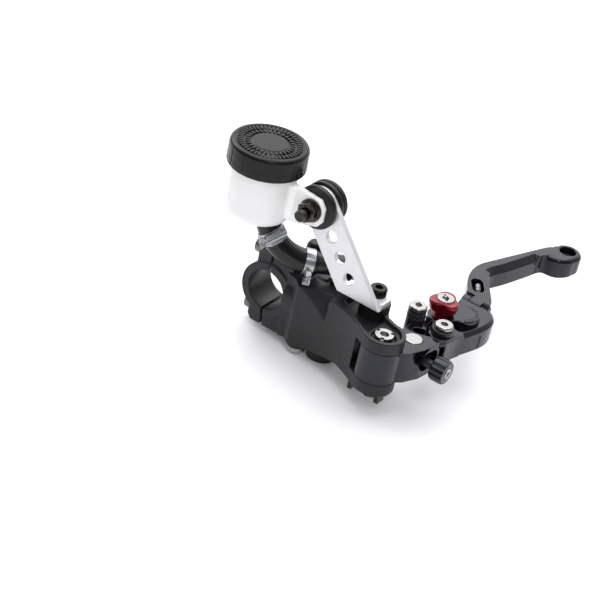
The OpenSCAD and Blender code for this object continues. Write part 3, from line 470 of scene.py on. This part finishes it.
PAINT = {  # one for each material slot of the record; their edge colours are partly wear, partly a painted highlight
    "black_anodised_body": surface(
        "blasted_black", (0.01, 0.0098, 0.0115), 0.42, tone=0.3, spread=0.08, grain=5200, bump=0.012,
        edge_wear_and_highlight=BLACK_EDGE_WEAR_AND_HIGHLIGHT, edge_wear_and_highlight_amount=0.4, IOR=1.4),
    "black_anodised_clamp": surface(
        "satin_black", (0.01, 0.0098, 0.0115), 0.38, tone=0.3, grain=5200, bump=0.01,
        edge_wear_and_highlight=BLACK_EDGE_WEAR_AND_HIGHLIGHT, edge_wear_and_highlight_amount=0.4, IOR=1.4),
    "black_gloss_lever": surface(
        "gloss_black", (0.003, 0.003, 0.0045), 0.1, tone=0.4, spread=0.05, grain=3800, bump=0.0006,
        edge_wear_and_highlight=(0.35, 0.35, 0.4), IOR=1.5, Specular_Tint=(0.86, 0.88, 1.0, 1)),
    "raw_bracket": surface(
        "blasted_aluminium", (0.7, 0.7, 0.72), 0.42, 0.6, tone=0.04, spread=0.08, grain=6000, bump=0.01,
        edge_wear_and_highlight=(0.95, 0.95, 0.96), edge_wear_and_highlight_amount=0.6),
    "red_knob": surface(
        "red_anodised", (0.17, 0.004, 0.014), 0.16, 0.6, spread=0.06, grain=3600, bump=0.002,
        edge_wear_and_highlight=(0.5, 0.16, 0.18), Coat_Weight=0.35, Coat_Roughness=0.08),
    "bright_steel": surface(
        "turned_steel", (0.4, 0.39, 0.38), 0.24, 1.0, tone=0.05, spread=0.06, grain=900, bump=0.0008,
        edge_wear_and_highlight=(0.9, 0.9, 0.9)),
    "clip_steel": surface(
        "zinc_steel", (0.42, 0.43, 0.445), 0.28, 1.0, tone=0.12, grain=2600, bump=0.002),
    "dark_steel": surface(
        "bronzed_steel", (0.035, 0.031, 0.026), 0.2, 0.95, tone=0.4, spread=0.12, grain=2400,
        edge_wear_and_highlight=(0.4, 0.38, 0.34), edge_wear_and_highlight_amount=0.8),
    "titanium_bolt": surface(
        "plated_steel", (0.17, 0.155, 0.14), 0.3, 1.0, tone=0.3, spread=0.12, grain=2400,
        edge_wear_and_highlight=(0.5, 0.48, 0.45), edge_wear_and_highlight_amount=0.6),
    "black_steel": surface(
        "black_oxide", (0.012, 0.012, 0.013), 0.3, 0.2, tone=0.3, spread=0.12, grain=2800, bump=0.005,
        edge_wear_and_highlight=(0.35, 0.35, 0.35), edge_wear_and_highlight_amount=0.6),
    "pot_plastic": surface(
        "milky_plastic", (0.93, 0.93, 0.925), 0.42, tone=0.02, spread=0.08, patch=60, grain=1800, bump=0.006,
        Subsurface_Weight=0.7, Subsurface_Radius=(1, 1, 1), Subsurface_Scale=0.008),
    "cap_plastic": surface(
        "cap_black", (0.004, 0.0037, 0.0037), 0.26, tone=0.35, grain=3400, bump=0.012, IOR=1.33),
    "black_rubber": surface(
        "matt_rubber", (0.004, 0.004, 0.004), 0.36, tone=0.3, spread=0.14, grain=2600, bump=0.01, IOR=1.4),
    "hose_rubber": surface(
        "hose_black", (0.003, 0.003, 0.0034), 0.22, tone=0.3, spread=0.06, grain=3000, bump=0.003, IOR=1.42),
    "bronze": surface(
        "sintered_bronze", (0.5, 0.33, 0.14), 0.45, 1.0, tone=0.2, grain=4200, bump=0.012),
    "hard_anodised_piston": surface(
        "piston_gold", (0.42, 0.36, 0.2), 0.38, 0.9, tone=0.12, grain=3200),
    "black_plastic": surface(
        "satin_plastic", (0.007, 0.007, 0.0075), 0.3, grain=3200, bump=0.008),
}

# ---------------------------------------------------------------- camera, floor and light

# Telephoto view from the front inboard side, rolled about 10 degrees
CAMERA_AT = Vector((693.5, 412.7, 501.5)) * MM
CAMERA_TURN = (57.197, -10.160, 126.262)
SENSOR = 36.0
LENS = 108.3
FAR_CLIP = 10  # in metres

camera = bpy.data.objects.new("camera", bpy.data.cameras.new("camera"))
camera.data.sensor_width = SENSOR
camera.data.lens = LENS
camera.data.clip_end = FAR_CLIP
camera.location = CAMERA_AT
camera.rotation_euler = [math.radians(a) for a in CAMERA_TURN]
bpy.context.scene.collection.objects.link(camera)
bpy.context.scene.camera = camera

FLOOR_HALF = 3.0  # half its side, in metres
FLOOR_GAP = 0.0002  # left under the part, so that no faces coincide
FLOOR_CORNERS = ((-1, -1), (1, -1), (1, 1), (-1, 1))

floor_z = cad_box[0][2] - FLOOR_GAP
floor_mesh = bpy.data.meshes.new("floor")
corners = [(FLOOR_HALF * x, FLOOR_HALF * y, floor_z) for x, y in FLOOR_CORNERS]
floor_mesh.from_pydata(corners, [], [(0, 1, 2, 3)])
floor = bpy.data.objects.new("floor", floor_mesh)
bpy.context.scene.collection.objects.link(floor)
floor_mesh.materials.append(
    surface("white_sweep", (0.8, 0.8, 0.815), 0.6, tone=0.01, patch=3, grain=900, bump=0))


def area_light(name, at, size, power, mirrored=True, aim=(-0.03, 0.05, 0.0)):
    """Soft light; places and sizes in metres, power in watts. One that isn't mirrored lights matt surfaces
    without a veil on the glossy blacks."""
    lamp = bpy.data.lights.new(name, "AREA")
    lamp.shape = "RECTANGLE"
    lamp.size, lamp.size_y = size
    lamp.energy = power
    obj = bpy.data.objects.new(name, lamp)
    obj.location = at
    obj.rotation_euler = (Vector(aim) - Vector(at)).to_track_quat("-Z", "Y").to_euler()
    obj.visible_glossy = mirrored
    bpy.context.scene.collection.objects.link(obj)


area_light("overhead", (-0.25, -0.15, 1.1), (1.3, 1.3), 8)
area_light("back_left", (-0.2, -1.0, 0.75), (0.7, 0.5), 4)
area_light("front_soft", (1.0, 0.7, 0.9), (1.0, 1.0), 10, mirrored=False)
area_light("front_fill", (0.45, 0.55, 0.95), (0.16, 0.16), 1.2)

# The soft light of the room comes from behind and above the object; its front inboard side is dim
BRIGHT_SIDE = (-0.56, -0.34, 0.75)
SKY_LEVELS = ((0.15, 0.25), (0.6, 0.9), (0.95, 2.2))  # how far a direction faces that side, and its level
SKY_BLUE = 1.02
SKY_STRENGTH = 0.9

world = bpy.data.worlds.new("studio")
world.use_nodes = True
bpy.context.scene.world = world
sky_tree = world.node_tree
direction = add(sky_tree, "ShaderNodeTexCoord").outputs["Generated"]
facing = add(sky_tree, "ShaderNodeVectorMath", [(0, direction)], operation="DOT_PRODUCT")
facing.inputs[1].default_value = BRIGHT_SIDE
shades = add(sky_tree, "ShaderNodeValToRGB", [("Fac", facing.outputs["Value"])])
shades.color_ramp.elements.new(0.5)
for stop, (at, level) in zip(shades.color_ramp.elements, SKY_LEVELS):
    stop.position = at
    stop.color = (level, level, level * SKY_BLUE, 1)
sky = sky_tree.nodes["Background"]
sky_tree.links.new(shades.outputs[0], sky.inputs["Color"])
sky.inputs["Strength"].default_value = SKY_STRENGTH
bpy.context.scene.view_settings.view_transform = "Standard"

# ---------------------------------------------------------------- pieces kept from the frame

POLISHED = {  # node: width of its rounded edges in mm
    "bar_clamp": 0.5, "clamp_bolts": 0.25, "clamp_washers": 0.15, "body_plug": 0.3, "bleed_screw": 0.2,
    "bleed_cap": 0.25, "bracket_standoff": 0.5, "bracket_screw": 0.25, "bracket_washer": 0.15,
    "reservoir_bracket": 0.35, "reservoir_bolt": 0.25, "reservoir_nut": 0.25, "reservoir_grommets": 0.3,
    "inlet_elbow": 0.2, "inlet_clip": 0.12, "pivot_bolt": 0.2, "pivot_nut": 0.2, "pivot_lock_plate": 0.2,
    "dust_boot": 0.15, "piston": 0.15, "pivot_bush": 0.1, "stop_screw": 0.15, "trunnion": 0.2,
    "trunnion_clip": 0.1, "pushrod": 0.15, "knob_screw": 0.12, "blade_washer": 0.3, "blade_screw": 0.2,
    "reach_screw": 0.2, "fold_pin": 0.1, "bore_circlip": 0.1, "stop_washer": 0.1,
}

SOCKETS = {  # screw: direction it faces, half width of its hexagon, depth
    "reach_screw": ("z", 2.0, 3.0), "blade_screw": ("z", 2.0, 3.0), "stop_screw": ("z", 2.0, 3.0),
    "knob_screw": ("y", 1.4, 2.4), "bracket_screw": ("z", 2.3, 3.4),
}


def deepen(node):
    """CAD screw with a deep hexagon in its head."""
    axis, r, depth = SOCKETS[node]
    low, high = span(node)
    end = high.z if axis == "z" else high.y
    return cut(copy_of(node), rod(axis, (low + high) / 2, r, end - depth, end + 1, 6))


def polish(node):
    """CAD node with rounded edges, and a deeper socket where it is a socket screw."""
    obj = deepen(node) if node in SOCKETS else copy_of(node)
    return place(soften(obj, POLISHED[node]), node + "_finish", node, PAINT[SLOT_OF[node]])


# ---------------------------------------------------------------- pieces rebuilt

# Sizes that several pieces share, in mm
BASE_TOP = 11.0
BASE_LOW = -7.0
AXIS_Z = 2.0  # height of the cylinder's axis
STOP = (-18.8, 74.2, 0)  # axis of the lever's stop
PLATE_CENTRE = (-40.6, 89.4, 0)
SCREW_HOLE_R = 3.05
THREAD_R = 3.02  # threaded holes of the base and the stop
BEHIND, AHEAD = 60, 120  # along Y, clear of the lever on both sides
FOLD_R = 3.4  # radius of the fold hinge's knuckles
FOLD_GAP = 0.3
FOLD_PIN_R = 1.55
FORK = ((78.4, 82.6), (90.2, 94.4))  # the blade's two knuckles, along Y
KNUCKLE = (82.9, 89.9)  # the tip's knuckle between them


def finish(obj, node, name):
    """Places a rebuilt piece with the material of its node's slot."""
    return place(obj, name, node, PAINT[SLOT_OF[node]])


def fold_rod(r, low, high, steps=64):
    """Round bar about the fold hinge's axis."""
    return rod("y", (FOLD.x, 0, FOLD.z), r, low, high, steps)


def build_tip():
    """Folding end of the lever: a bowed bar with a chamfered front edge, a pocket by the hinge and a
    round end."""
    top, low = 9.0, -4.0
    hinge_x = FOLD.x - FOLD_GAP
    ball = (-150.0, 93.5)
    rear = spline([(hinge_x, 78.2), (-66.4, 77), (-73, 73), (-79.7, 69.8), (-88, 67.6), (-96.3, 67.8),
                   (-104, 70), (-120, 75.2), (-134, 79.8), (-143, 83), (-147.2, 85.2)], 5)
    end = arc(*ball, 8.3, -68, -294, 28)
    front = spline([(-146.6, 101.1), (-143.4, 100.5), (-140.4, 98.9), (-137.6, 96.2), (-136, 93),
                    (-135.6, 90), (-135, 87.4), (-132.6, 86), (-125.8, 84.3), (-115.6, 81.9),
                    (-105.6, 79.4), (-97.5, 76.8), (-92.5, 76.2), (-88.6, 77.6), (-84, 80.6), (-78, 84.4),
                    (-72.5, 88.4), (-67, 92.2), (hinge_x, 94.6)], 5)
    bar = [q for q in front if -131 < q[0] < -91]  # the straight part of the front edge
    nose = [q for q in front if q[0] < -135]  # the shoulder beside the round end
    tip = prism(rear[:-1] + end[:-1] + front, low, top)
    tip = chamfer(tip, near(end[2:] + nose, top), 2.8, 5)
    tip = chamfer(tip, near(bar, top), 3.4)
    tip = chamfer(tip, near(end + front, low), 1.4, 2)
    rise = prism([(-20, -118), (low, -118), (-1.2, -158), (-1.2, -170), (-20, -170)], BEHIND, AHEAD, "y")
    hole = lathe([(0, 4.5), (4.6, 4.5), (4.6, 8.3), (5.2, 9.1), (5.2, 12), (0, 12)], (*ball, 0), steps=48)
    nest = prism(capsule((-77.8, 76.4), (-72.2, 80.6), 3.3), 3, 20)
    notch = block((-65.4, BEHIND, FOLD.z + 1.7), (-61.6, 83.6, 20))
    room_r = FOLD_R + FOLD_GAP
    room = [fold_rod(room_r, BEHIND, KNUCKLE[0]), fold_rod(room_r, KNUCKLE[1], AHEAD)]
    cut(tip, rise, hole, nest, notch, *room)
    root = block((FOLD.x - 5, KNUCKLE[0], FOLD.z - FOLD_R), (FOLD.x, KNUCKLE[1], top))
    fuse(tip, root, fold_rod(FOLD_R, *KNUCKLE))
    under = block((hinge_x, BEHIND, -30), (0, AHEAD, FOLD.z - FOLD_R))
    cut(tip, fold_rod(FOLD_PIN_R, BEHIND, AHEAD, 32), under)
    finish(soften(tip, 0.3), "lever_tip", "lever_tip_bowed")


def build_blade():
    """Middle of the lever: a thick rounded block, slotted for the base's tongue."""
    top, low = 9.0, -5.0
    front = spline([(-12.4, 97.6), (-18, 98), (-24.7, 98.9), (-33, 101.2), (-42, 103.2), (-49, 103.4),
                    (-54.8, 101.6), (-58.8, 98.4), (FOLD.x, 94.6)], 5)
    rear = spline([(FOLD.x, 78.2), (-55, 79.6), (-50, 80.4), (-46, 79.5), (-42.4, 76.8), (-39, 74.6),
                   (-35, 73.5), (-31, 74.2), (-28.4, 76.6), (-26.6, 80), (-25.4, 82.8)], 4)
    inner = [(-16.4, 84.2), (-11.6, 86.6), (-9, 91), (-9.6, 95.6)]
    wide = [q for q in front if q[0] < -26]
    blade = prism(front + rear + inner, low, top)
    blade = chamfer(blade, near(wide, top), 2.0, 1)
    blade = chamfer(blade, near(wide, low), 2.2, 3)
    pad = prism([(-9.4, 95), (-9, 91), (-11.6, 86.6), (-16.4, 84.2), (-22.4, 84.2), (-24.6, 88),
                 (-25, 96.6), (-23, 98.5), (-13, 97.4)], BASE_TOP - 4, BASE_TOP)
    fuse(blade, pad, *[fold_rod(FOLD_R, *ends) for ends in FORK])
    slot = prism([(0, 110), (-11, 110), (-12.4, 96.8), (-26, 97.2), (-27.4, 88), (-26.6, 82), (-20, 60),
                  (0, 60)], BASE_LOW + 3.7, BASE_TOP - 3.9)
    under = prism([(0, 110), (-9.4, 110), (-9, 60), (0, 60)], -60, BASE_LOW + 3.9)
    edge = [q for q in front if -41 < q[0] < -17]
    panel = prism([(x, y - 0.7) for x, y in edge] + [(-43, AHEAD), (-15, AHEAD)], -20, 4.6)
    notch = block((-61.2, 86.8, FOLD.z + 2.1), (-57.2, AHEAD, 20))
    swing = block((FOLD.x - 5, 70, FOLD.z), (FOLD.x + FOLD_R + FOLD_GAP, 100, 30))
    cut(swing, fold_rod(FOLD_R, BEHIND, AHEAD))
    middle = block((FOLD.x - 6, 82.61, FOLD.z - FOLD_R - 1), (FOLD.x + FOLD_R + 0.6, 90.19, 30))
    screw_holes = [rod("z", at, SCREW_HOLE_R, -THROUGH, THROUGH, 32) for at in (BLADE, CAM)]
    cut(blade, slot, under, panel, notch, swing, middle, *screw_holes, fold_rod(FOLD_PIN_R, 70, 100, 32))
    finish(soften(blade, 0.3), "lever_blade", "lever_blade_machined")


def build_base():
    """Root of the lever: the hub between the ears, the pushrod's tunnel and the tongue for the blade."""
    hub = arc(PIVOT.x, PIVOT.y, 11.0, -118, 92, 30)
    front = [(13, 91), (4, 94.6), (-16.4, 96.4), (-21, 95), (-22.5, 94), (-23.8, 91), (-24.5, 88),
             (-23.6, 77)]
    stop_boss = arc(-18.9, 74.4, 4.2, 160, 318, 14)
    rear = [(-13.8, 75), (-10, 76.2), (-6.2, 76.5), (0, 74.9), (5, 72.5)]
    base = prism(hub + front + stop_boss + rear, BASE_LOW, BASE_TOP)
    tunnel = rod("y", (-0.4, 0, AXIS_Z), 5.4, BEHIND, 110)
    mouth = prism(rounded(-3, -9.2, 7.2, 4.6, 4.4), 90, 110, "y")
    kidney = prism(capsule((-8.4, 82.2), (-10.6, 87.6), 2.7), -THROUGH, THROUGH)
    upright = [rod("z", PIVOT, 5.5, -THROUGH, THROUGH), rod("z", TRUNNION, 5.05, -THROUGH, THROUGH),
               rod("z", STOP, THREAD_R, -THROUGH, THROUGH, 32), rod("z", STOP, 5.3, BASE_TOP - 9, THROUGH)]
    throat = block((-6, BEHIND, AXIS_Z - 5.2), (5, 79, AXIS_Z + 5.2))
    tongue = [(-8.6, 110), (-8.6, 91), (-10.6, 85.6), (-16, 83), (-40, 79), (-40, 110)]
    over, below = prism(tongue, BASE_TOP - 4.2, THROUGH), prism(tongue, -THROUGH, BASE_LOW + 4.2)
    hinge = rod("z", BLADE, THREAD_R, -THROUGH, THROUGH, 32)
    cut(base, tunnel, mouth, kidney, *upright, throat, over, below, hinge)
    finish(soften(base, 0.3), "lever_base", "lever_base_machined")


def build_index_plate():
    """Tear-drop plate under the reach knob, with plain ribs as its scale."""
    low, top = 9.01, 12.4
    round_end = arc(*PLATE_CENTRE[:2], 9.6, 20, 215, 30)
    plan = round_end + [(-45, 82.8), (-40, 82), (-35, 83.6), (-31, 86.6), (-28.6, 90)]
    plate = prism(plan, low, top)
    plate = chamfer(plate, near(plan, top), 0.5)
    cut(plate, rod("z", CAM, 5.4, -THROUGH, THROUGH))
    scale = ribs(11, 6.4, 8.6, top - 0.4, top + 0.3, 0.9, start=math.radians(40), sweep=math.radians(165))
    plate = join(soften(plate, 0.15), moved(scale, PLATE_CENTRE))
    finish(plate, "index_plate", "index_plate_ribbed")


def build_reach_knob():
    """Three-lobed red crown that tapers down to its shaft, with a raised ring round the screw."""
    first_lobe = math.radians(75)
    ring_r, root_r = 5.4, 4.9  # the lobes start outside the ring and grow from the root

    def lobed(t, r, h):
        wave = 0.5 * math.cos(3 * (t - first_lobe)) - 0.06 * math.cos(6 * (t - first_lobe))
        return r if r < ring_r else r + (r - root_r) * wave

    crown = [(SCREW_HOLE_R, 9.3), (5, 9.3), (5, 13.4), (5.9, 13.42), (6.5, 13.8), (6.9, 14.8), (7.1, 16.2),
             (7.3, 17.6), (7.45, 18.5), (7.3, 19.3), (6.8, 19.85), (6.0, 20.05), (5.6, 19.9), (5.35, 19.95),
             (5.2, 20.3), (4.8, 20.35), (4.6, 20.1), (4.6, 18.2), (SCREW_HOLE_R, 18.2)]
    knob = lathe(crown, (CAM.x, CAM.y, 0), steps=120, shape=lobed)
    finish(soften(knob, 0.12, angle=50), "reach_knob", "reach_knob_lobed")


def build_adjuster_knob():
    """Fluted knob on the end of the pushrod."""
    hub_r, face_y, flutes, depth = 5, 107.6, 8, 0.95

    def fluted(t, r, h):
        return r if r < hub_r or h > face_y else r - depth * max(0.0, math.cos(flutes * t)) ** 2

    profile = [(2.52, 100), (5.7, 100), (6.4, 100.6), (6.5, 101.4), (6.5, 105.6), (6.3, 107.2), (5.9, 107.9),
               (5.5, 108), (3, 108), (3, 106.9), (2.52, 106.9)]
    knob = lathe(profile, (0, 0, AXIS_Z), "y", 96, fluted)
    finish(soften(knob, 0.15, angle=40), "adjuster_knob", "adjuster_knob_fluted")


def build_stop_barrel():
    """Knurled barrel of the lever's stop screw, with a deep groove under its collar."""
    knurl_low, knurl_high, knurl_r, teeth, depth = 11.2, 13.9, 4.5, 16, 0.45

    def knurled(t, r, h):
        plain = h < knurl_low or h > knurl_high or r < knurl_r
        return r if plain else r - depth * (math.cos(teeth * t) > 0.1)

    profile = [(THREAD_R, 2), (4.9, 2), (4.9, 11.1), (4.9, 11.3), (4.9, 13.7), (4.7, 14), (4.1, 14.1),
               (4.1, 14.8), (4.8, 14.95), (4.9, 15.2), (4.9, 16.1), (4.6, 16.4), (THREAD_R, 16.4)]
    barrel = lathe(profile, STOP, steps=128, shape=knurled)
    finish(soften(barrel, 0.08, angle=45), "stop_barrel", "stop_barrel_knurled")


def build_cap():
    """Screw cap: grip panels between grooves, a rounded rim, and two rings of ribs round the middle."""
    panels, steps_per_panel, groove_share, groove_depth = 14, 20, 0.04, 0.7
    skirt_r, grip_low, grip_high = 19.5, 0.8, 11
    rib_low, rib_high = 11.5, 12.4

    def panelled(t, r, h):
        across = (t * panels / math.tau) % 1
        groove = min(across, 1 - across) < groove_share
        return r - groove_depth * (groove and r > skirt_r and grip_low < h < grip_high)

    profile = [(0, 11.1), (17.7, 11.1), (17.7, 0), (19.9, 0), (20.3, 0.25), (20.5, 0.7), (20.5, 3.9),
               (20.36, 4.1), (20.36, 4.35), (20.5, 4.55), (20.42, 7.5), (20.3, 10.4), (20.0, 11.3),
               (19.4, 12.05), (18.6, 12.42), (17.9, 12.5), (17.5, 12.35), (17.3, 11.7), (9.6, 11.7),
               (9.3, 12.2), (8.8, 12.4), (4, 12.45), (0, 12.45)]
    centre = (CAP.x, CAP.y, span("reservoir_cap")[0].z)
    shell = lathe(profile, centre, steps=panels * steps_per_panel, shape=panelled)
    outer = moved(ribs(46, 13.6, 16.6, rib_low, rib_high, 1.1), centre)
    inner = moved(ribs(30, 10.3, 12.6, rib_low, rib_high, 1.2, 0.05), centre)
    finish(join(soften(shell, 0), outer, inner), "reservoir_cap", "reservoir_cap_ribbed")


def build_moulded():
    """Cast or moulded pieces whose faces run into each other with soft fillets."""
    pot = remould(copy_of("reservoir"), voxel=0.5, passes=16, share=0.6)
    finish(pot, "reservoir", "reservoir_moulded")
    body = remould(copy_of("cylinder_body"), voxel=0.4, passes=6, share=0.25)
    finish(body, "cylinder_body", "cylinder_body_forged")


# The hose runs from the pot's spigot to the elbow
SPIGOT = Vector((17.2, -4, 47))
SPIGOT_DIR = Vector((0, 0.5, -0.86)).normalized()
HOSE_END = Vector((2.6, 22.6, 25.5))
HOSE_END_DIR = Vector((-0.62, 0.76, 0.02)).normalized()
HOSE_START = SPIGOT + 4.4 * SPIGOT_DIR
HOSE = [HOSE_START, HOSE_START + 14 * SPIGOT_DIR, HOSE_END - 13 * HOSE_END_DIR, HOSE_END]
HOSE_R = 6.4
HOSE_BORE_R = 4.2
HOSE_STEPS = 40
WORM_CLAMP_AT = 0.17  # share of the way along the hose
EAR_CLAMP_AT = 0.88


def on_hose(t):
    """Point on the hose's centre line, a Bezier curve."""
    a, b, c, d = HOSE
    return a * (1 - t) ** 3 + 3 * b * t * (1 - t) ** 2 + 3 * c * t * t * (1 - t) + d * t ** 3


def along_hose(t):
    """Direction of the hose at a share of its length."""
    return (on_hose(t + 0.01) - on_hose(t - 0.01)).normalized()


def hose_band(thick, half_width):
    """Thin ring round the hose, built about the origin."""
    low_r, high_r = HOSE_R + 0.05, HOSE_R + thick
    profile = [(low_r, -half_width), (high_r, -half_width), (high_r, half_width), (low_r, half_width)]
    return soften(lathe(profile, steps=72), 0.12)


def build_hose():
    """Thick-walled rubber hose."""
    hose = tube([on_hose(k / HOSE_STEPS) for k in range(HOSE_STEPS + 1)], HOSE_R, HOSE_BORE_R, 48)
    finish(soften(hose, 0.5, 3, 60), "reservoir_hose", "reservoir_hose_smooth")


def build_worm_clamp():
    """Slotted band with a screw housing that faces the front."""
    at = on_hose(WORM_CLAMP_AT)
    screw_at = (HOSE_R + 2.1, 0, 0)
    band = hose_band(0.6, 3.4)
    slots = ribs(26, HOSE_R + 0.3, HOSE_R + 1.0, -2.3, 2.3, 0.8)
    box = soften(block((HOSE_R + 0.5, -3.6, -3.0), (HOSE_R + 3.4, 3.6, 3.0)), 0.5)
    screw = rod("y", screw_at, 1.7, -6.6, 5.4, 24)
    head = soften(rod("y", screw_at, 2.5, 5.4, 8.2, 6), 0.2)
    clamp = join(band, slots, box, screw, head)
    stand(clamp, at, along_hose(WORM_CLAMP_AT), CAMERA_AT / MM - at)
    finish(clamp, "upper_hose_clamp", "worm_clamp")


def build_ear_clamp():
    """Spring band whose narrow ears end in a small square nut."""
    at = on_hose(EAR_CLAMP_AT)
    screw_at = (HOSE_R + 4.6, 0, 0)
    faces = (0.75, 0.57, -0.34)
    band = hose_band(0.65, 2.5)
    ears = [soften(block((HOSE_R + 0.4, y, -1.4), (HOSE_R + 6, y + 0.9, 1.4)), 0.2) for y in (-1.6, 0.9)]
    screw = rod("y", screw_at, 1.1, -3.6, 4.2, 20)
    nut = cut(block((HOSE_R + 2.8, 1.8, -1.9), (HOSE_R + 6.4, 3.6, 1.9)), rod("y", screw_at, 1.2, 1, 5, 20))
    clamp = join(band, *ears, screw, soften(nut, 0.2))
    stand(clamp, at, along_hose(EAR_CLAMP_AT), faces)
    finish(clamp, "lower_hose_clamp", "ear_clamp")


def build_return_spring():
    """Coil spring between its fixed end and its seat; the real spring shortens as the piston goes in."""
    spring = finish(soften(copy_of("return_spring"), 0), "return_spring", "return_spring_coil")
    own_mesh(spring)


for node in POLISHED:
    polish(node)
for build in (build_tip, build_blade, build_base, build_index_plate, build_reach_knob, build_adjuster_knob,
              build_stop_barrel, build_cap, build_moulded, build_hose, build_worm_clamp, build_ear_clamp,
              build_return_spring):
    build()

for node, obj in frame["nodes"].items():
    if not obj.hide_render:
        obj.material_slots[0].material = PAINT[SLOT_OF[node]]
